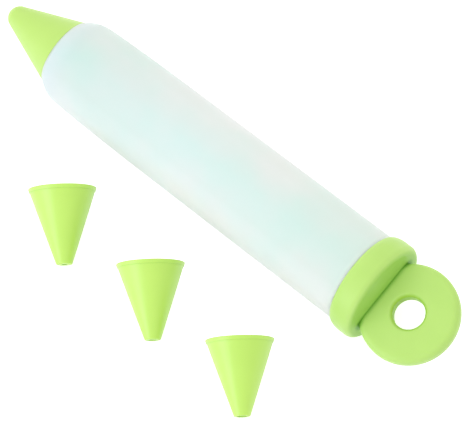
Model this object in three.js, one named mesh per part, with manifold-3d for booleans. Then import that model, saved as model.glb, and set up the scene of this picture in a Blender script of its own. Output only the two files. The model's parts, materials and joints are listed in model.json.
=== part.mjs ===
// Silicone squeeze pen for decorating cakes, with one fitted and three spare nozzles.
// Millimetres, +Z up. The pen lies along X with its nozzle toward -X, and the origin is
// on the surface it lies on, under the middle of the whole set.
import * as THREE from 'three'
import { mergeVertices } from 'three/addons/utils/BufferGeometryUtils.js'
import Module from 'manifold-3d'

const wasm = await Module()
wasm.setup()

// Squeeze tube, from its mouth (where the nozzle seats) to its open rear end
const tubeLength = 111
const tubeRearRadius = 14
const tubeTaper = 0.42 // radius lost evenly from the rear to the front
const tubeNarrowing = 1.02 // further radius lost near the front
const narrowingRun = 12 // length over which that dies away
const tubeWall = 1.9
const mouthRadius = 10.35
const shoulderRun = 3
const shoulderThickness = 2.2
const innerShoulderRun = 9
const neckLength = 5
const neckBoreRadius = 5
const neckEdgeChamfer = 0.4

// Clearances between pieces that come apart
const seatGap = 0.25 // between two faces that meet
const slideClearance = 0.3 // round a piece that slides in or over another

// End stopper: plug, cap and pull ring in one moulding
const plugLength = 10
const plugRibHeight = 0.7
const plugRibWidth = 1.8
const plugRibCount = 3
const plugNoseChamfer = 0.9
const capRadius = 15.35
const capThickness = 7.6
const capFrontRun = 3.6 // length over which the cap's front edge curves in
const capFrontDrop = 1.45 // and how far it curves in
const capRearRounding = 2
const ringRadius = 14.45
const ringHoleRadius = 4.6
const ringThickness = 5
const ringEdgeRounding = 2
const ringHoleRounding = 1.3
const ringReach = 9.4 // cap's rear face to the middle of the ring's hole
const ringRoll = 16.5 // degrees that the ring is rolled from lying flat

// Fitted nozzle, stretched over the neck
const fittedNozzleLength = 20.8
const fittedNozzleWall = 1.5
const fittedTipRadius = 3.5
const fittedOrificeRadius = 1

// Spare nozzles, relaxed
const spareNozzleLength = 21.6
const spareRimRadius = 9.73
const spareTipRadius = 2.27
const spareNozzleWall = 1.4
const spareTipBevel = 0.3
const spareLipHeight = 1.1
const spareLipStep = 0.15
const spareOrificeRadii = [0.8, 1.1, 1.4]

// Where the spares lie: a row beside the pen, tips away from it
const spareRowStart = new THREE.Vector2(40.9, -46.5) // first tip, from the tube's mouth
const spareRowPitch = new THREE.Vector2(34.4, -1.4)
const spareHeading = 133.2 // degrees from +X of the way each spare's rim lies

// Facets
const penSides = 48
const spareSides = 40
const arcSteps = 4
const curveSteps = 5
const bodyRings = 8
const innerRings = 4
const ringSpacingPower = 1.6 // draws the rings together toward the shoulder

const silicone = { roughness: 0.45, metalness: 0 }

// A point of a profile that is turned about X: x along the axis, r out from it
const at = (x, r) => new THREE.Vector2(x, r)

// Points on an arc, with angles in degrees from +x toward +r
function arc(x, r, radius, from, to, steps = arcSteps) {
  const points = []
  for (let i = 0; i <= steps; i++) {
    const angle = THREE.MathUtils.degToRad(from + (to - from) * i / steps)
    points.push(at(x + radius * Math.cos(angle), r + radius * Math.sin(angle)))
  }
  return points
}

// Leaves only positions, with shared corners merged and no empty triangles
function welded(geometry) {
  geometry.deleteAttribute('normal')
  geometry.deleteAttribute('uv')
  const merged = mergeVertices(geometry)
  const corners = merged.index.array
  const kept = []
  for (let i = 0; i < corners.length; i += 3) {
    const [a, b, c] = corners.slice(i, i + 3)
    if (a !== b && b !== c && c !== a) kept.push(a, b, c)
  }
  merged.setIndex(kept)
  return merged
}

// Turns a profile about the X axis, with a flat facet underneath
function turned(profile, sides) {
  const points = profile.map(p => new THREE.Vector2(p.y, p.x))
  const halfFacet = Math.PI / sides
  const geometry = new THREE.LatheGeometry(points, sides, halfFacet)
  geometry.rotateZ(-Math.PI / 2)
  return welded(geometry)
}

function toManifold(geometry) {
  return new wasm.Manifold(new wasm.Mesh({
    numProp: 3,
    vertProperties: new Float32Array(geometry.attributes.position.array),
    triVerts: new Uint32Array(geometry.index.array),
  }))
}

function fromManifold(solid) {
  const mesh = solid.getMesh()
  const geometry = new THREE.BufferGeometry()
  geometry.setAttribute('position', new THREE.BufferAttribute(mesh.vertProperties, 3))
  geometry.setIndex(new THREE.BufferAttribute(mesh.triVerts, 1))
  return geometry
}

function piece(name, geometry, material) {
  geometry.computeVertexNormals()
  const mesh = new THREE.Mesh(geometry, material)
  mesh.name = name
  return mesh
}

const limeSilicone = () => new THREE.MeshStandardMaterial({ ...silicone, color: 0xb9ea5c })
const frostedSilicone = () => new THREE.MeshStandardMaterial({
  ...silicone, color: 0xe2f3ee, transparent: true, opacity: 0.6,
})

// Outer radius of the tube at a distance behind its mouth, the shoulder apart
function tubeRadius(distance) {
  const fromRear = 1 - distance / tubeLength
  return tubeRearRadius - tubeTaper * fromRear - tubeNarrowing * Math.exp(-distance / narrowingRun)
}

const boreRadius = distance => tubeRadius(distance) - tubeWall

// Half-angle of the fitted nozzle's cone, which runs from the mouth to touch its round tip
const fittedRun = fittedNozzleLength - fittedTipRadius
const fittedHalfAngle = Math.atan2(mouthRadius, fittedRun)
  - Math.asin(fittedTipRadius / Math.hypot(mouthRadius, fittedRun))
const socketRadius = mouthRadius - fittedNozzleWall / Math.cos(fittedHalfAngle)

// The neck tapers inside the fitted nozzle's cone
const neckRootRadius = socketRadius - slideClearance / Math.cos(fittedHalfAngle)
const neckRadius = run => neckRootRadius - (run - seatGap) * Math.tan(fittedHalfAngle)

function tubeOutside() {
  const blendEnd = 2 * shoulderRun
  const shoulder = new THREE.QuadraticBezierCurve(
    at(0, mouthRadius),
    at(shoulderRun, tubeRadius(shoulderRun)),
    at(blendEnd, tubeRadius(blendEnd)),
  )
  const points = shoulder.getPoints(curveSteps)
  for (let i = 1; i <= bodyRings; i++) {
    const distance = blendEnd + (tubeLength - blendEnd) * (i / bodyRings) ** ringSpacingPower
    points.push(at(distance, tubeRadius(distance)))
  }
  return points
}

function tubeInside() {
  const funnel = new THREE.QuadraticBezierCurve(
    at(shoulderThickness, neckBoreRadius),
    at(shoulderThickness, boreRadius(shoulderThickness)),
    at(innerShoulderRun, boreRadius(innerShoulderRun)),
  )
  const points = funnel.getPoints(curveSteps)
  for (let i = 1; i <= innerRings; i++) {
    const distance = innerShoulderRun
      + (tubeLength - innerShoulderRun) * (i / innerRings) ** ringSpacingPower
    points.push(at(distance, boreRadius(distance)))
  }
  return points
}

function squeezeTube() {
  const neckFront = at(-neckLength, neckRadius(neckLength))
  const profile = [
    at(-neckLength, neckBoreRadius),
    at(-neckLength, neckFront.y - neckEdgeChamfer),
    at(-neckLength + neckEdgeChamfer, neckRadius(neckLength - neckEdgeChamfer)),
    at(0, neckRadius(0)),
    ...tubeOutside(),
    ...tubeInside().reverse(),
    at(-neckLength, neckBoreRadius),
  ]
  return turned(profile, penSides)
}

// The plug's ribs stand clear of the narrowest bore that they pass
const plugFront = tubeLength + seatGap - plugLength
const plugRibRadius = boreRadius(plugFront) - slideClearance
const plugCoreRadius = plugRibRadius - plugRibHeight
const capFront = tubeLength + seatGap
const capRear = capFront + capThickness
const capContact = at(capFront + capFrontRun, capRadius)

function plugRib(middle) {
  const halfWidth = plugRibWidth / 2
  const crest = new THREE.EllipseCurve(
    middle, plugCoreRadius, halfWidth, plugRibHeight, Math.PI, 0, true)
  return crest.getPoints(arcSteps)
}

// The cap's front edge curves out from the tube's rear end like a quarter of an ellipse
function capFrontEdge() {
  const edge = new THREE.EllipseCurve(
    capContact.x, capContact.y - capFrontDrop, capFrontRun, capFrontDrop, Math.PI, Math.PI / 2, true)
  return edge.getPoints(curveSteps)
}

function plugAndCap() {
  const ribRoom = plugLength - plugNoseChamfer
  const ribs = []
  for (let i = 0; i < plugRibCount; i++) {
    const middle = plugFront + plugNoseChamfer + ribRoom * (i + 0.5) / plugRibCount
    ribs.push(...plugRib(middle))
  }
  return turned([
    at(plugFront, 0),
    at(plugFront, plugCoreRadius - plugNoseChamfer),
    at(plugFront + plugNoseChamfer, plugCoreRadius),
    ...ribs,
    at(capFront, plugCoreRadius),
    ...capFrontEdge(),
    ...arc(capRear - capRearRounding, capRadius - capRearRounding, capRearRounding, 90, 0),
    at(capRear, 0),
  ], penSides)
}

// The pull ring is a flat disc with rounded edges, turned about Z, then rolled about X
function pullRing() {
  const face = ringThickness / 2
  const outer = ringRadius - ringEdgeRounding
  const inner = ringHoleRadius + ringHoleRounding
  const profile = [
    ...arc(outer, -face + ringEdgeRounding, ringEdgeRounding, -90, 0),
    ...arc(outer, face - ringEdgeRounding, ringEdgeRounding, 0, 90),
    ...arc(inner, face - ringHoleRounding, ringHoleRounding, 90, 180),
    ...arc(inner, -face + ringHoleRounding, ringHoleRounding, 180, 270),
    at(outer, -face),
  ]
  const geometry = new THREE.LatheGeometry(profile, penSides)
  geometry.rotateX(Math.PI / 2 + THREE.MathUtils.degToRad(ringRoll))
  geometry.translate(capRear + ringReach, 0, 0)
  return welded(geometry)
}

function endStopper() {
  return fromManifold(toManifold(plugAndCap()).add(toManifold(pullRing())))
}

// A round tip's surface, from the edge of its orifice to where the cone touches it
function tipDome(radius) {
  const orificeAngle = 180 - THREE.MathUtils.radToDeg(Math.asin(fittedOrificeRadius / radius))
  const tangentAngle = 90 + THREE.MathUtils.radToDeg(fittedHalfAngle)
  return arc(fittedTipRadius, 0, radius, orificeAngle, tangentAngle)
}

// Nozzle profiles run from the tip at x = 0 to the rim
function fittedNozzle() {
  const outside = tipDome(fittedTipRadius)
  const inside = tipDome(fittedTipRadius - fittedNozzleWall)
  return turned([
    ...outside,
    at(fittedNozzleLength, mouthRadius),
    at(fittedNozzleLength, socketRadius),
    ...inside.reverse(),
    outside[0],
  ], penSides)
}

// A spare's cone is straight but for a shallow lip round its rim
const spareSlope = (spareRimRadius - spareLipStep - spareTipRadius) / spareNozzleLength
const spareHalfAngle = Math.atan(spareSlope)
const spareTipEdge = at(spareTipBevel, spareTipRadius + spareTipBevel * spareSlope)
const spareLipEdge = at(
  spareNozzleLength - spareLipHeight, spareRimRadius - spareLipHeight * spareSlope)

function spareNozzle(orificeRadius) {
  const innerRimRadius = spareRimRadius - spareLipStep
    - spareNozzleWall / Math.cos(spareHalfAngle)
  const throat = spareNozzleLength - (innerRimRadius - orificeRadius) / spareSlope
  return turned([
    at(0, orificeRadius),
    at(0, spareTipRadius - spareTipBevel),
    spareTipEdge,
    at(spareLipEdge.x, spareLipEdge.y - spareLipStep),
    spareLipEdge,
    at(spareNozzleLength, spareRimRadius),
    at(spareNozzleLength, innerRimRadius),
    at(throat, orificeRadius),
    at(0, orificeRadius),
  ], spareSides)
}

// The pen leans nose down until the tube touches the surface that the cap's rim is on
const penFlatShare = Math.cos(Math.PI / penSides)
const penLean = Math.min(...tubeOutside().map(
  p => Math.atan2(penFlatShare * (capContact.y - p.y), capContact.x - p.x)))

function pen() {
  const group = new THREE.Group()
  group.rotation.y = -penLean
  group.position.z = penFlatShare * capContact.y * Math.cos(penLean)
    - capContact.x * Math.sin(penLean)
  const nozzle = piece('fitted_nozzle', fittedNozzle(), limeSilicone())
  nozzle.position.x = -seatGap - fittedNozzleLength
  group.add(
    piece('squeeze_tube', squeezeTube(), frostedSilicone()),
    piece('end_stopper', endStopper(), limeSilicone()),
    nozzle,
  )
  return group
}

// A spare lies on the edges of its lip and its tip, so its rim end is raised
function spare(index) {
  const flatShare = Math.cos(Math.PI / spareSides)
  const lean = Math.atan2(
    flatShare * (spareLipEdge.y - spareTipEdge.y), spareLipEdge.x - spareTipEdge.x)
  const group = new THREE.Group()
  group.rotation.set(0, -lean, THREE.MathUtils.degToRad(spareHeading), 'ZYX')
  group.position.x = spareRowStart.x + spareRowPitch.x * index
  group.position.y = spareRowStart.y + spareRowPitch.y * index
  group.position.z = flatShare * spareTipEdge.y * Math.cos(lean) - spareTipEdge.x * Math.sin(lean)
  group.add(piece(`spare_nozzle_${index + 1}`, spareNozzle(spareOrificeRadii[index]), limeSilicone()))
  return group
}

// The whole set, moved in plan so that its middle is over the origin
function decoratingPenSet() {
  const set = new THREE.Group()
  set.add(pen(), ...spareOrificeRadii.map((_, index) => spare(index)))
  const middle = new THREE.Box3().setFromObject(set, true).getCenter(new THREE.Vector3())
  set.position.set(-middle.x, -middle.y, 0)
  return set
}

export default decoratingPenSet()
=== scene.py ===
"""Looks for the cake decorating pen: frosted silicone tube, lime silicone stopper and nozzles.

Metres, in the part's frame: the pen lies along X with its nozzle toward -X and its ring toward +X.
"""
import json
import math

import bpy
from mathutils import Matrix, Vector


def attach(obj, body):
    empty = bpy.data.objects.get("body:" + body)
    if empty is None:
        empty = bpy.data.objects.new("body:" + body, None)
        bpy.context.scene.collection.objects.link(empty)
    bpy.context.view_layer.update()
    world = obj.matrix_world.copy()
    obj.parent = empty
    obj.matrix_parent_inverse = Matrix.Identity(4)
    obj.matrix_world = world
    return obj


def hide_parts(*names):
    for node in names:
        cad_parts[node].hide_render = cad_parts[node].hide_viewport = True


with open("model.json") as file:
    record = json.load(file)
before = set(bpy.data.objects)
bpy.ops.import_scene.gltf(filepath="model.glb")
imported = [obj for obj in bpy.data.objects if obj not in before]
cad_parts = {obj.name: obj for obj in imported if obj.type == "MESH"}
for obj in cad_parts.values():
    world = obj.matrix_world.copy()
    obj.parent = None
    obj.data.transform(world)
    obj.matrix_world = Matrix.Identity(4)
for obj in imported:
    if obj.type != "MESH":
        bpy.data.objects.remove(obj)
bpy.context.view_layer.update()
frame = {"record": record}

MM = 0.001

# Pen frame: origin in the middle of the tube's mouth, x toward the ring
MOUTH = Vector((-60.88, 17.746, 13.03)) * MM
PEN_JOINT = "stopper_pull"

# Squeeze tube
TUBE_LENGTH = 111 * MM
TUBE_REAR_RADIUS = 14 * MM
TUBE_TAPER = 0.42 * MM
TUBE_NARROWING = 1.02 * MM
NARROWING_RUN = 12 * MM
TUBE_WALL = 1.9 * MM
MOUTH_RADIUS = 10.35 * MM
SHOULDER_RUN = 3 * MM
SHOULDER_THICKNESS = 2.2 * MM
INNER_SHOULDER_RUN = 9 * MM
NECK_LENGTH = 5 * MM
NECK_BORE_RADIUS = 5 * MM
MOULD_EDGE = 0.25 * MM
SOFT_EDGE = 0.02 * MM

# Clearances: the seams that show are closer than the seat that the joints need
SEAT_GAP = 0.25 * MM
SEAM = 0.01 * MM
SLIDE_CLEARANCE = 0.3 * MM

# End stopper
PLUG_LENGTH = 10 * MM
PLUG_RIB_HEIGHT = 0.7 * MM
PLUG_RIB_WIDTH = 1.8 * MM
PLUG_RIBS = 3
PLUG_NOSE = 0.9 * MM
CAP_RADIUS = 15.35 * MM
CAP_THICKNESS = 7.6 * MM
CAP_FRONT_RUN = 3.6 * MM
CAP_FRONT_DROP = 1.45 * MM
CAP_REAR_ROUNDING = 2 * MM
RING_RADIUS = 14.45 * MM
RING_HOLE_RADIUS = 4.6 * MM
RING_THICKNESS = 5 * MM
RING_EDGE_ROUNDING = 2 * MM
RING_HOLE_ROUNDING = 1.3 * MM
RING_REACH = 9.4 * MM
RING_ROLL = math.radians(16.5)

# Fitted nozzle
FITTED_LENGTH = 20.8 * MM
FITTED_WALL = 1.5 * MM
FITTED_TIP_RADIUS = 3.5 * MM
FITTED_ORIFICE = 1.0 * MM

# Spare nozzles
SPARE_LENGTH = 21.6 * MM
SPARE_RIM_RADIUS = 9.73 * MM
SPARE_TIP_RADIUS = 2.27 * MM
SPARE_WALL = 1.4 * MM
SPARE_TIP_BEVEL = 0.3 * MM
SPARE_LIP_HEIGHT = 1.1 * MM
SPARE_LIP_STEP = 0.15 * MM
SPARE_ORIFICES = (0.8 * MM, 1.1 * MM, 1.4 * MM)
SPARE_FIRST_TIP = Vector((-19.981, -28.754)) * MM
SPARE_PITCH = Vector((34.4, -1.4)) * MM
SPARE_HEADING = math.radians(133.2)

# Meshes
SIDES = 144
CURVE_STEPS = 14
RIB_STEPS = 10
EDGE_STEPS = 4
BODY_STEPS = 36
BODY_CROWDING = 1.5
SHARP_ANGLE = math.radians(38)
LONG_STRETCH = 1 * MM
SUPPORT_INSET = 0.06 * MM
TINY = 1e-7

# Noise, as the size of its lumps and its detail, and the part of its range that is used
MOTTLE = (18 * MM, 4)
LIME_GLOSS = (6 * MM, 2)
LIME_WAVES = (3 * MM, 2)
LIME_SPECKS = (0.25 * MM, 2)
CLOUDS = (20 * MM, 2)
TUBE_GLOSS = (5 * MM, 5)
TUBE_WAVES = (4 * MM, 2)
TUBE_SPECKS = (0.2 * MM, 2)
FLOOR_MOTTLE = (90 * MM, 3)
COLOUR_RANGE = (0.35, 0.65)
GLOSS_RANGE = (0.3, 0.7)

# Unevenness of the mouldings
WAVE_DEPTH = 0.03 * MM
WAVE_STRENGTH = 0.35
SPECK_DEPTH = WAVE_DEPTH / 4
SPECK_STRENGTH = 0.25

# Lime silicone: darkest and lightest colour, smoothest and roughest, and level of gloss
STOPPER_LIME = ((0.458, 0.711, 0.178), (0.484, 0.739, 0.194), (0.36, 0.44), 0.36)
# The fitted nozzle and the spares are one lime silicone: the spares' copy is painted lighter and the
# fitted nozzle's darker, for how differently the lamps fall on them
FITTED_LIME_SHADED = ((0.45, 0.7, 0.14), (0.474, 0.724, 0.154), (0.4, 0.46), 0.9)
SPARE_LIME_LIT = ((0.488, 0.775, 0.119), (0.511, 0.798, 0.128), (0.36, 0.4), 1)
LIME_BODY = {
    "IOR": 1.42,
    "Subsurface Weight": 0.12,
    "Subsurface Radius": (0.8, 1.0, 0.25),
    "Subsurface Scale": 1.2 * MM,
}

# Painted shade that darkens the lime in hollows, on the cap's rear face and in the ring's hole
WHITE = (1, 1, 1)
BLACK = (0, 0, 0)
PAINTED_HOLLOW_SHADE = (0.5, 0.7, 0.4)
HOLLOW_REACH = 1.5 * MM
HOLLOW_RANGE = (0.5, 0.95)
HOLLOW_SAMPLES = 8
PAINTED_REAR_FACE_SHADE = (0.75, 0.87, 0.62)
FACE_FADE = 0.7 * MM
FACE_CORE = (0.45, 0.55)
PAINTED_HOLE_SHADE = (0.7, 0.81, 0.26)
HOLE_RANGE = (0.1, 0.7)

# Frosted silicone: shades by the share of the tube's length, from its mouth. The mouth and front
# tints are painted shade that darkens the mouth and shoulder, the seam tint is a painted lime glow
# from the nozzle, and the end tint is painted light against the shade beside the cap
PAINTED_MOUTH_SHADE = (0.69, 0.8, 0.82)
PAINTED_SEAM_GLOW = (0.82, 0.96, 0.72)
PAINTED_FRONT_SHADE = (0.815, 0.915, 0.92)
MIDDLE_SHADE = (0.92, 0.962, 1)
REAR_SHADE = (0.865, 0.94, 0.93)
PAINTED_END_LIGHT = (0.84, 1, 0.9)
SEAM_AT = 0.0015
FACE_END_AT = 0.006
FRONT_AT = 0.08
MIDDLE_AT = 0.45
REAR_AT = 0.985

# Painted light across the pen, from its far side to the side where the loose nozzles lie: paler
# toward the sides, lightest at the edge toward the loose nozzles, and greener along the top
NEAR_SIDE = Vector((0, -0.93, -0.37))
SIDE_REACH = 13 * MM
PAINTED_ACROSS_LIGHT = (
    (0.04, (0.91, 0.935, 0.9)),
    (0.15, (0.935, 0.96, 0.94)),
    (0.46, (0.862, 0.945, 0.905)),
    (0.74, (0.885, 0.925, 0.885)),
    (0.97, WHITE),
)
GREENER_CLOUD = (0.915, 0.99, 0.985)
PINKER_CLOUD = (1, 0.98, 1)
TUBE_ROUGHNESS = (0.5, 0.62)
TUBE_BODY = {
    "IOR": 1.41,
    "Specular IOR Level": 0.12,
    "Transmission Weight": 0.15,
    "Subsurface Weight": 1,
    "Subsurface Radius": (1, 1, 1),
    "Subsurface Scale": 2 * MM,
    "Sheen Weight": 0.45,
    "Sheen Roughness": 0.5,
}

# Camera
VIEW_TURN = math.radians(41.28)
VIEW_HEIGHT = math.radians(62)
VIEW_DISTANCE = 1810 * MM
VIEW_TARGET = Vector((8.95, 9.99, 15.0)) * MM
LENS = 500.3
SENSOR_WIDTH = 36
FARTHEST_SEEN = 20

# Light: the key's offset is in metres to the right, up and toward the camera
WORLD_STRENGTH = 1.19
WORLD_SHADED = 0.785
WORLD_TINT = (1, 0.99, 0.93)
SHADE_START = 0.1
KEY_OFFSET = (-0.8, -0.35, 0.45)
KEY_SIZE = 0.52
KEY_POWER = 2.3
KEY_TINT = (0.76, 0.77, 1)

# Floor
FLOOR_HALF_WIDTH = 3
FLOOR_DARK = (0.87, 0.87, 0.95)
FLOOR_LIGHT = (0.89, 0.89, 0.97)
FLOOR_LIFT = 0.58
FLOOR_BODY = {
    "Roughness": 0.9,
    "Specular IOR Level": 0.1,
    "Emission Color": (1, 1, 1, 1),
}


def pen_matrix():
    """Places what is made about the pen's own axis."""
    joint = next(j for j in frame["record"]["behaviour"]["joints"] if j["name"] == PEN_JOINT)
    along = Vector(joint["axis"]).normalized()
    across = Vector((0, 1, 0))
    up = along.cross(across)
    turn = Matrix((along, across, up)).transposed()
    return Matrix.Translation(MOUTH) @ turn.to_4x4()


# Profiles are lists of (x, r), in metres along and out from an axis

def arc(x, r, radius, start, end, steps=CURVE_STEPS):
    points = []
    for i in range(steps + 1):
        angle = math.radians(start + (end - start) * i / steps)
        points.append((x + radius * math.cos(angle), r + radius * math.sin(angle)))
    return points


def bend(start, middle, end, steps=CURVE_STEPS):
    points = []
    for i in range(steps + 1):
        t = i / steps
        a, b, c = (1 - t) ** 2, 2 * t * (1 - t), t ** 2
        points.append(tuple(a * p + b * q + c * s for p, q, s in zip(start, middle, end)))
    return points


def eased(before, corner, after, radius):
    """A corner rounded to a small radius."""
    corner = Vector(corner)
    back = (Vector(before) - corner).normalized()
    ahead = (Vector(after) - corner).normalized()
    half = back.angle(ahead) / 2
    reach = radius / math.tan(half)
    return bend(corner + back * reach, corner, corner + ahead * reach, EDGE_STEPS)


def supported(profile):
    """The profile with a point near each end of a long stretch, which keeps its shading straight."""
    points = [Vector(profile[0])]
    for start, end in zip(profile, profile[1:]):
        start, end = Vector(start), Vector(end)
        if (end - start).length > LONG_STRETCH:
            inset = (end - start).normalized() * SUPPORT_INSET
            points += [start + inset, end - inset]
        points.append(end)
    return points


def turned(profile):
    """Corners and faces of a profile turned about X."""
    profile = supported(profile)
    closed = profile[0] == profile[-1]
    corners = []
    rings = []
    for x, r in profile[:-1] if closed else profile:
        count = 1 if r < TINY else SIDES
        rings.append([len(corners) + i for i in range(count)])
        for i in range(count):
            turn = 2 * math.pi * i / SIDES
            corners.append(Vector((x, r * math.sin(turn), r * math.cos(turn))))
    if closed:
        rings.append(rings[0])
    return corners, faces_between(rings)


def faces_between(rings):
    faces = []
    for near, far in zip(rings, rings[1:]):
        for i in range(SIDES):
            j = (i + 1) % SIDES
            quad = [near[i % len(near)], far[i % len(far)], far[j % len(far)], near[j % len(near)]]
            faces.append(list(dict.fromkeys(quad)))
    return faces


def mesh_object(name, corners, faces, matrix=Matrix.Identity(4)):
    mesh = bpy.data.meshes.new(name)
    mesh.from_pydata([matrix @ c for c in corners], [], faces)
    mesh.validate()
    mesh.shade_smooth()
    thing = bpy.data.objects.new(name, mesh)
    bpy.context.collection.objects.link(thing)
    return thing


# Tube

def tube_radius(distance):
    from_rear = 1 - distance / TUBE_LENGTH
    near_front = math.exp(-distance / NARROWING_RUN)
    return TUBE_REAR_RADIUS - TUBE_TAPER * from_rear - TUBE_NARROWING * near_front


def bore_radius(distance):
    return tube_radius(distance) - TUBE_WALL


def body_rings(start, radius):
    points = []
    for i in range(1, BODY_STEPS + 1):
        distance = start + (TUBE_LENGTH - start) * (i / BODY_STEPS) ** BODY_CROWDING
        points.append((distance, radius(distance)))
    return points


FITTED_RUN = FITTED_LENGTH - FITTED_TIP_RADIUS
FITTED_HALF_ANGLE = (math.atan2(MOUTH_RADIUS, FITTED_RUN)
                     - math.asin(FITTED_TIP_RADIUS / math.hypot(MOUTH_RADIUS, FITTED_RUN)))
SOCKET_RADIUS = MOUTH_RADIUS - FITTED_WALL / math.cos(FITTED_HALF_ANGLE)


def neck_radius(run):
    root = SOCKET_RADIUS - SLIDE_CLEARANCE / math.cos(FITTED_HALF_ANGLE)
    return root - (run - SEAT_GAP) * math.tan(FITTED_HALF_ANGLE)


def tube_outside():
    """From the mouth's edge over the shoulder to the rear end."""
    blend_end = 2 * SHOULDER_RUN
    shoulder = bend((0, MOUTH_RADIUS), (SHOULDER_RUN, tube_radius(SHOULDER_RUN)),
                    (blend_end, tube_radius(blend_end)))
    return shoulder[1:] + body_rings(blend_end, tube_radius)


def tube_inside():
    """From the rear end along the bore and down the funnel to the neck's bore."""
    funnel = bend((SHOULDER_THICKNESS, NECK_BORE_RADIUS),
                  (SHOULDER_THICKNESS, bore_radius(SHOULDER_THICKNESS)),
                  (INNER_SHOULDER_RUN, bore_radius(INNER_SHOULDER_RUN)))
    return (funnel + body_rings(INNER_SHOULDER_RUN, bore_radius))[::-1]


def tube_profile():
    neck_inner = (-NECK_LENGTH, NECK_BORE_RADIUS)
    neck_front = (-NECK_LENGTH, neck_radius(NECK_LENGTH))
    neck_root = (0, neck_radius(0))
    mouth_edge = (0, MOUTH_RADIUS)
    outside = tube_outside()
    inside = tube_inside()
    return [
        neck_inner,
        *eased(neck_inner, neck_front, neck_root, MOULD_EDGE),
        neck_root,
        *eased(neck_root, mouth_edge, outside[0], SOFT_EDGE),
        *outside[:-1],
        *eased(outside[-2], outside[-1], inside[0], SOFT_EDGE),
        *inside,
        neck_inner,
    ]


# Stopper

def plug_ribs(plug_front, core):
    room = (PLUG_LENGTH - PLUG_NOSE) / PLUG_RIBS
    ribs = []
    for i in range(PLUG_RIBS):
        middle = plug_front + PLUG_NOSE + room * (i + 0.5)
        for x, r in arc(0, 0, 1, 180, 0, RIB_STEPS):
            ribs.append((middle + x * PLUG_RIB_WIDTH / 2, core + r * PLUG_RIB_HEIGHT))
    return ribs


def cap_front_edge(cap_front):
    """A quarter of an ellipse, out from the tube's rear end to the cap's full width."""
    middle = cap_front + CAP_FRONT_RUN
    foot = CAP_RADIUS - CAP_FRONT_DROP
    return [(middle + x * CAP_FRONT_RUN, foot + r * CAP_FRONT_DROP) for x, r in arc(0, 0, 1, 180, 90)]


def plug_and_cap_profile():
    plug_front = TUBE_LENGTH + SEAT_GAP - PLUG_LENGTH
    core = bore_radius(plug_front) - SLIDE_CLEARANCE - PLUG_RIB_HEIGHT
    cap_front = TUBE_LENGTH + SEAM
    cap_rear = TUBE_LENGTH + SEAT_GAP + CAP_THICKNESS
    return [
        (plug_front, 0),
        (plug_front, core - PLUG_NOSE),
        (plug_front + PLUG_NOSE, core),
        *plug_ribs(plug_front, core),
        (cap_front, core),
        *cap_front_edge(cap_front),
        *arc(cap_rear - CAP_REAR_ROUNDING, CAP_RADIUS - CAP_REAR_ROUNDING,
             CAP_REAR_ROUNDING, 90, 0),
        (cap_rear, 0),
    ]


def ring_profile():
    outer = RING_RADIUS - RING_EDGE_ROUNDING
    inner = RING_HOLE_RADIUS + RING_HOLE_ROUNDING
    high = RING_THICKNESS / 2
    low = -high
    points = [
        *arc(outer, low + RING_EDGE_ROUNDING, RING_EDGE_ROUNDING, -90, 0),
        *arc(outer, high - RING_EDGE_ROUNDING, RING_EDGE_ROUNDING, 0, 90),
        *arc(inner, high - RING_HOLE_ROUNDING, RING_HOLE_ROUNDING, 90, 180),
        *arc(inner, low + RING_HOLE_ROUNDING, RING_HOLE_ROUNDING, 180, 270),
        (outer, low),
    ]
    return [(height, radius) for radius, height in points][::-1]


def ring_matrix(pen):
    """Places the ring, which is turned about its hole's axis."""
    reach = TUBE_LENGTH + SEAT_GAP + CAP_THICKNESS + RING_REACH
    upright = Matrix.Rotation(-math.pi / 2, 4, "Y")
    return pen @ Matrix.Translation((reach, 0, 0)) @ Matrix.Rotation(RING_ROLL, 4, "X") @ upright


# Nozzles

def tip_dome(radius):
    orifice = 180 - math.degrees(math.asin(FITTED_ORIFICE / radius))
    tangent = 90 + math.degrees(FITTED_HALF_ANGLE)
    return arc(FITTED_TIP_RADIUS, 0, radius, orifice, tangent)


def fitted_profile():
    outside = tip_dome(FITTED_TIP_RADIUS)
    inside = tip_dome(FITTED_TIP_RADIUS - FITTED_WALL)
    end = FITTED_LENGTH + SEAT_GAP - SEAM
    rim = (end, MOUTH_RADIUS)
    socket = (end, SOCKET_RADIUS)
    return [
        *outside,
        *eased(outside[-1], rim, socket, SOFT_EDGE),
        *eased(rim, socket, inside[-1], SOFT_EDGE),
        *inside[::-1],
        outside[0],
    ]


SPARE_SLOPE = (SPARE_RIM_RADIUS - SPARE_LIP_STEP - SPARE_TIP_RADIUS) / SPARE_LENGTH


def spare_tip_edge():
    return (SPARE_TIP_BEVEL, SPARE_TIP_RADIUS + SPARE_TIP_BEVEL * SPARE_SLOPE)


def spare_lip():
    front = SPARE_LENGTH - SPARE_LIP_HEIGHT
    return (front, SPARE_RIM_RADIUS - SPARE_LIP_HEIGHT * SPARE_SLOPE)


def spare_profile(orifice):
    wall_across = SPARE_WALL / math.cos(math.atan(SPARE_SLOPE))
    inner_rim = SPARE_RIM_RADIUS - SPARE_LIP_STEP - wall_across
    throat = SPARE_LENGTH - (inner_rim - orifice) / SPARE_SLOPE
    lip = spare_lip()
    under_lip = (lip[0], lip[1] - SPARE_LIP_STEP)
    rim = (SPARE_LENGTH, SPARE_RIM_RADIUS)
    inner = (SPARE_LENGTH, inner_rim)
    return [
        (0, orifice),
        *eased((0, orifice), (0, SPARE_TIP_RADIUS), under_lip, SPARE_TIP_BEVEL),
        spare_tip_edge(),
        under_lip,
        *eased(under_lip, lip, rim, SPARE_LIP_STEP / 2),
        *eased(lip, rim, inner, MOULD_EDGE),
        *eased(rim, inner, (throat, orifice), MOULD_EDGE),
        (throat, orifice),
        (0, orifice),
    ]


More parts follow.
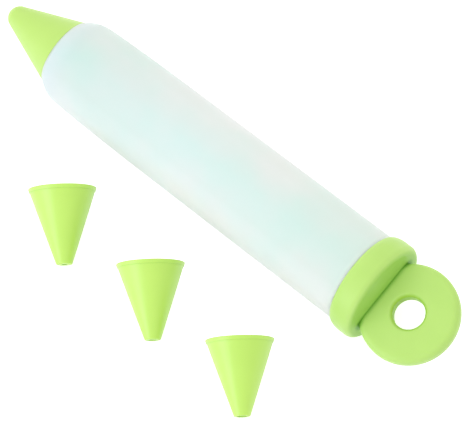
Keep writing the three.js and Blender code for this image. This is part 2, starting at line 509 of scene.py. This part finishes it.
def spare_matrix(index):
    """A spare lies on the edges of its lip and its tip, so its rim end is raised."""
    tip_x, tip_r = spare_tip_edge()
    lip_x, lip_r = spare_lip()
    lean = math.atan2(lip_r - tip_r, lip_x - tip_x)
    height = tip_r * math.cos(lean) - tip_x * math.sin(lean)
    foot = SPARE_FIRST_TIP + SPARE_PITCH * index
    place = Matrix.Translation((foot.x, foot.y, height))
    return place @ Matrix.Rotation(SPARE_HEADING, 4, "Z") @ Matrix.Rotation(-lean, 4, "Y")


# Nodes

def new_material(name):
    material = bpy.data.materials.new(name)
    material.use_nodes = True
    tree = material.node_tree
    return material, tree, principled(tree)


def principled(tree):
    return next(n for n in tree.nodes if n.type == "BSDF_PRINCIPLED")


def add_node(tree, kind, **settings):
    node = tree.nodes.new(kind)
    for name, value in settings.items():
        setattr(node, name, value)
    return node


def set_inputs(node, values):
    for name, value in values.items():
        node.inputs[name].default_value = value


def feed(tree, socket, value):
    """Links another node's output to a socket, or sets a plain number on it."""
    if isinstance(value, bpy.types.NodeSocket):
        tree.links.new(value, socket)
    else:
        socket.default_value = value


def noise(tree, size, detail):
    """Noise whose lumps are about the given size across, in the object's own space."""
    place = add_node(tree, "ShaderNodeTexCoord")
    pattern = add_node(tree, "ShaderNodeTexNoise")
    set_inputs(pattern, {"Scale": 1 / size, "Detail": detail})
    tree.links.new(place.outputs["Object"], pattern.inputs["Vector"])
    return pattern.outputs["Fac"]


def stops(tree, source, *places):
    """A colour ramp through the given (position, colour) stops."""
    colours = add_node(tree, "ShaderNodeValToRGB")
    marks = colours.color_ramp.elements
    while len(marks) < len(places):
        marks.new(0.5)
    for mark, (position, colour) in zip(marks, places):
        mark.position = position
        mark.color = (*colour, 1)
    tree.links.new(source, colours.inputs["Fac"])
    return colours.outputs["Color"]


def blotches(tree, pattern, low, high):
    """Noise that runs from one colour to another."""
    start, end = COLOUR_RANGE
    return stops(tree, noise(tree, *pattern), (start, low), (end, high))


def mixed(tree, share, first, second, how="MIX"):
    """Two colours mixed by a share, each a socket or a plain colour."""
    mix = add_node(tree, "ShaderNodeMix", data_type="RGBA", blend_type=how)
    feed(tree, mix.inputs["Factor"], share)
    for name, value in (("A", first), ("B", second)):
        plain = isinstance(value, tuple)
        feed(tree, mix.inputs[name], (*value, 1) if plain else value)
    return mix.outputs["Result"]


def times(tree, first, second):
    return mixed(tree, 1, first, second, "MULTIPLY")


def rescaled(tree, source, old, new, **settings):
    """A value taken from one range to another, whose ends may be sockets."""
    scale = add_node(tree, "ShaderNodeMapRange", **settings)
    for name, value in zip(("From Min", "From Max", "To Min", "To Max"), (*old, *new)):
        feed(tree, scale.inputs[name], value)
    tree.links.new(source, scale.inputs["Value"])
    return scale.outputs["Result"]


def from_point(tree, point, operation, direction):
    """The dot or cross product of a direction with the way from a point."""
    place = add_node(tree, "ShaderNodeTexCoord")
    way = add_node(tree, "ShaderNodeVectorMath", operation="SUBTRACT")
    tree.links.new(place.outputs["Object"], way.inputs[0])
    way.inputs[1].default_value = point
    product = add_node(tree, "ShaderNodeVectorMath", operation=operation)
    tree.links.new(way.outputs["Vector"], product.inputs[0])
    product.inputs[1].default_value = direction
    return product


def along_pen(tree, pen, start, end):
    """0 at one distance from the tube's mouth and 1 at another, along the pen."""
    product = from_point(tree, pen.translation, "DOT_PRODUCT", pen.col[0].xyz)
    return rescaled(tree, product.outputs["Value"], (start, end), (0, 1))


def across_pen(tree, pen, start, end):
    """0 at one distance from the pen's axis toward the loose nozzles and 1 at another."""
    product = from_point(tree, pen.translation, "DOT_PRODUCT", pen.to_3x3() @ NEAR_SIDE)
    return rescaled(tree, product.outputs["Value"], (start, end), (0, 1))


def out_from_hole(tree, ring, start, end):
    """0 at one distance from the axis of the ring's hole and 1 at another."""
    product = from_point(tree, ring.translation, "CROSS_PRODUCT", ring.col[0].xyz)
    length = add_node(tree, "ShaderNodeVectorMath", operation="LENGTH")
    tree.links.new(product.outputs["Vector"], length.inputs[0])
    return rescaled(tree, length.outputs["Value"], (start, end), (0, 1))


def bumps(tree, pattern, strength, depth):
    bump = add_node(tree, "ShaderNodeBump")
    set_inputs(bump, {"Strength": strength, "Distance": depth})
    tree.links.new(noise(tree, *pattern), bump.inputs["Height"])
    return bump


def uneven(tree, shader, waves, specks):
    """Soft unevenness of the moulding with a fine grain over it."""
    soft = bumps(tree, waves, WAVE_STRENGTH, WAVE_DEPTH)
    fine = bumps(tree, specks, SPECK_STRENGTH, SPECK_DEPTH)
    tree.links.new(soft.outputs["Normal"], fine.inputs["Normal"])
    tree.links.new(fine.outputs["Normal"], shader.inputs["Normal"])


# Materials

def painted_shade_in_hollows(tree, colour):
    """The colour with painted shade in tight hollows, such as the crease at the foot of the ring."""
    # Painted shade: ambient occlusion darkens the colour in creases and hollows
    hollow = add_node(tree, "ShaderNodeAmbientOcclusion", samples=HOLLOW_SAMPLES, only_local=True)
    hollow.inputs["Distance"].default_value = HOLLOW_REACH
    deepest, open_from = HOLLOW_RANGE
    depth = stops(tree, hollow.outputs["AO"], (deepest, PAINTED_HOLLOW_SHADE), (open_from, WHITE))
    return times(tree, colour, depth)


def painted_shade_behind(tree, colour, pen, ring):
    """The stopper's colour with painted shade on the cap's rear face and on the wall of the ring's
    hole.
    """
    cap_rear = TUBE_LENGTH + SEAT_GAP + CAP_THICKNESS
    face = along_pen(tree, pen, cap_rear - FACE_FADE, cap_rear + FACE_FADE)
    core_start, core_end = FACE_CORE
    painted_shade_on_face = stops(tree, face, (0, WHITE), (core_start, PAINTED_REAR_FACE_SHADE),
                    (core_end, PAINTED_REAR_FACE_SHADE), (1, WHITE))
    wall = out_from_hole(tree, ring, RING_HOLE_RADIUS, RING_HOLE_RADIUS + RING_HOLE_ROUNDING)
    wall_start, wall_end = HOLE_RANGE
    painted_shade_on_wall = stops(tree, wall, (wall_start, PAINTED_HOLE_SHADE), (wall_end, WHITE))
    return times(tree, times(tree, colour, painted_shade_on_face), painted_shade_on_wall)


def lime_silicone(name, dark, light, roughness, gloss):
    material, tree, shader = new_material(name)
    mottled = blotches(tree, MOTTLE, dark, light)
    # Painted shade in hollows over the mottled lime
    tree.links.new(painted_shade_in_hollows(tree, mottled), shader.inputs["Base Color"])
    sheen = rescaled(tree, noise(tree, *LIME_GLOSS), GLOSS_RANGE, roughness)
    tree.links.new(sheen, shader.inputs["Roughness"])
    shader.inputs["Specular IOR Level"].default_value = gloss
    set_inputs(shader, LIME_BODY)
    uneven(tree, shader, LIME_WAVES, LIME_SPECKS)
    return material


def stopper_silicone(pen, ring):
    material = lime_silicone("stopper_lime", *STOPPER_LIME)
    tree = material.node_tree
    base = principled(tree).inputs["Base Color"]
    # Painted shade on the cap's rear face and in the ring's hole, over the lime
    tree.links.new(painted_shade_behind(tree, base.links[0].from_socket, pen, ring), base)
    return material


def lengthwise_tint_and_painted_light(tree, along):
    # Painted shade at the mouth and front, a painted lime glow at the nozzle's seam and painted light
    # at the rear end
    return stops(tree, along, (0, PAINTED_MOUTH_SHADE), (SEAM_AT, PAINTED_SEAM_GLOW), (FACE_END_AT, PAINTED_MOUTH_SHADE),
                 (FRONT_AT, PAINTED_FRONT_SHADE), (MIDDLE_AT, MIDDLE_SHADE), (REAR_AT, REAR_SHADE),
                 (1, PAINTED_END_LIGHT))


def painted_side_light(tree, pen, along):
    """Painted light across the pen: paler toward its sides, lightest at the edge toward the loose
    nozzles, greener along its top, and even at both of its ends.
    """
    across = stops(tree, across_pen(tree, pen, -SIDE_REACH, SIDE_REACH), *PAINTED_ACROSS_LIGHT)
    at_ends = stops(tree, along, (0, WHITE), (FRONT_AT, BLACK), (REAR_AT, BLACK), (1, WHITE))
    return mixed(tree, at_ends, across, WHITE)


def frosted_silicone(pen):
    """Frosted silicone, whose light spreads inside its wall."""
    material, tree, shader = new_material("frosted_silicone_look")
    along = along_pen(tree, pen, 0, TUBE_LENGTH)
    # The wall's tint carries painted shade and painted light along and across the pen
    tint = times(tree, lengthwise_tint_and_painted_light(tree, along), painted_side_light(tree, pen, along))
    wall = times(tree, tint, blotches(tree, CLOUDS, GREENER_CLOUD, PINKER_CLOUD))
    tree.links.new(wall, shader.inputs["Base Color"])
    frost = rescaled(tree, noise(tree, *TUBE_GLOSS), GLOSS_RANGE, TUBE_ROUGHNESS)
    tree.links.new(frost, shader.inputs["Roughness"])
    set_inputs(shader, TUBE_BODY)
    uneven(tree, shader, TUBE_WAVES, TUBE_SPECKS)
    return material


def seen_rays(tree):
    """1 for what the camera sees straight, in a reflection or through something, else 0."""
    rays = add_node(tree, "ShaderNodeLightPath")
    either = add_node(tree, "ShaderNodeMath", operation="MAXIMUM")
    tree.links.new(rays.outputs["Is Camera Ray"], either.inputs[0])
    tree.links.new(rays.outputs["Is Glossy Ray"], either.inputs[1])
    any_of = add_node(tree, "ShaderNodeMath", operation="MAXIMUM")
    tree.links.new(either.outputs["Value"], any_of.inputs[0])
    tree.links.new(rays.outputs["Is Transmission Ray"], any_of.inputs[1])
    return any_of.outputs["Value"]


def floor_material():
    material, tree, shader = new_material("studio_floor_look")
    tree.links.new(blotches(tree, FLOOR_MOTTLE, FLOOR_DARK, FLOOR_LIGHT), shader.inputs["Base Color"])
    set_inputs(shader, FLOOR_BODY)
    glow = rescaled(tree, seen_rays(tree), (0, 1), (0, FLOOR_LIFT))
    tree.links.new(glow, shader.inputs["Emission Strength"])
    return material


# Pieces

def dress(thing, body, node, material):
    thing.data.materials.append(material)
    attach(thing, body)
    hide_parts(node)


def make_tube(pen, material):
    tube = mesh_object("tube_wall", *turned(tube_profile()), pen)
    dress(tube, "tube", "squeeze_tube", material)


def make_stopper(pen, material):
    """Plug and cap with the ring joined on, which leaves a sharp crease between them."""
    stopper = mesh_object("stopper_moulding", *turned(plug_and_cap_profile()), pen)
    ring = mesh_object("ring_tool", *turned(ring_profile()), ring_matrix(pen))
    join = stopper.modifiers.new("join", "BOOLEAN")
    join.operation = "UNION"
    join.solver = "EXACT"
    join.object = ring
    bake_modifiers(stopper)
    bpy.data.objects.remove(ring)
    stopper.data.set_sharp_from_angle(angle=SHARP_ANGLE)
    dress(stopper, "stopper", "end_stopper", material)


def bake_modifiers(thing):
    graph = bpy.context.evaluated_depsgraph_get()
    mesh = bpy.data.meshes.new_from_object(thing.evaluated_get(graph))
    thing.modifiers.clear()
    thing.data = mesh


def make_fitted_nozzle(pen, material):
    place = pen @ Matrix.Translation((-SEAT_GAP - FITTED_LENGTH, 0, 0))
    nozzle = mesh_object("nozzle_moulding", *turned(fitted_profile()), place)
    dress(nozzle, "nozzle", "fitted_nozzle", material)


def make_spare(index, material):
    name = f"spare_moulding_{index + 1}"
    spare = mesh_object(name, *turned(spare_profile(SPARE_ORIFICES[index])), spare_matrix(index))
    dress(spare, f"spare_{index + 1}", f"spare_nozzle_{index + 1}", material)


# Studio

def add_camera():
    data = bpy.data.cameras.new("camera")
    data.lens = LENS
    data.sensor_width = SENSOR_WIDTH
    data.clip_end = FARTHEST_SEEN
    camera = bpy.data.objects.new("camera", data)
    bpy.context.collection.objects.link(camera)
    away = Vector((math.sin(VIEW_TURN) * math.cos(VIEW_HEIGHT),
                   -math.cos(VIEW_TURN) * math.cos(VIEW_HEIGHT),
                   math.sin(VIEW_HEIGHT)))
    camera.location = VIEW_TARGET + away * VIEW_DISTANCE
    camera.rotation_euler = away.to_track_quat("Z", "Y").to_euler()
    bpy.context.scene.camera = camera


def in_view(right, up, toward):
    """An offset in metres given as the camera sees it: right, up and toward it."""
    return bpy.context.scene.camera.rotation_euler.to_matrix() @ Vector((right, up, toward))


def add_key_light():
    """A square soft light, turned to what the camera looks at."""
    data = bpy.data.lights.new("key", "AREA")
    data.size = KEY_SIZE
    data.energy = KEY_POWER
    data.color = KEY_TINT
    light = bpy.data.objects.new("key", data)
    bpy.context.collection.objects.link(light)
    offset = in_view(*KEY_OFFSET)
    light.location = VIEW_TARGET + offset
    light.rotation_euler = offset.to_track_quat("Z", "Y").to_euler()


def add_floor():
    left, right = -FLOOR_HALF_WIDTH, FLOOR_HALF_WIDTH
    outline = ((left, left), (right, left), (right, right), (left, right))
    corners = [Vector((x, y, 0)) for x, y in outline]
    floor = mesh_object("studio_floor", corners, [[0, 1, 2, 3]])
    floor.data.materials.append(floor_material())


def set_world():
    """An even world, dimmer toward the ring's end, where the photograph is in shade."""
    world = bpy.data.worlds.new("studio")
    bpy.context.scene.world = world
    world.use_nodes = True
    tree = world.node_tree
    background = next(n for n in tree.nodes if n.type == "BACKGROUND")
    way = add_node(tree, "ShaderNodeTexCoord")
    parts = add_node(tree, "ShaderNodeSeparateXYZ")
    tree.links.new(way.outputs["Generated"], parts.inputs["Vector"])
    light = rescaled(tree, parts.outputs["X"], (SHADE_START, 1), (WORLD_STRENGTH, WORLD_SHADED),
                     interpolation_type="SMOOTHSTEP")
    seen = seen_rays(tree)
    tree.links.new(mixed(tree, seen, WORLD_TINT, WHITE), background.inputs["Color"])
    strength = rescaled(tree, seen, (0, 1), (light, 1))
    tree.links.new(strength, background.inputs["Strength"])


bpy.context.scene.view_settings.view_transform = "Standard"
add_camera()
set_world()
add_floor()
add_key_light()

pen = pen_matrix()
stopper_lime = stopper_silicone(pen, ring_matrix(pen))
fitted_lime = lime_silicone("fitted_lime", *FITTED_LIME_SHADED)
spare_lime = lime_silicone("spare_lime", *SPARE_LIME_LIT)
make_tube(pen, frosted_silicone(pen))
make_stopper(pen, stopper_lime)
make_fitted_nozzle(pen, fitted_lime)
for spare_index in range(len(SPARE_ORIFICES)):
    make_spare(spare_index, spare_lime)
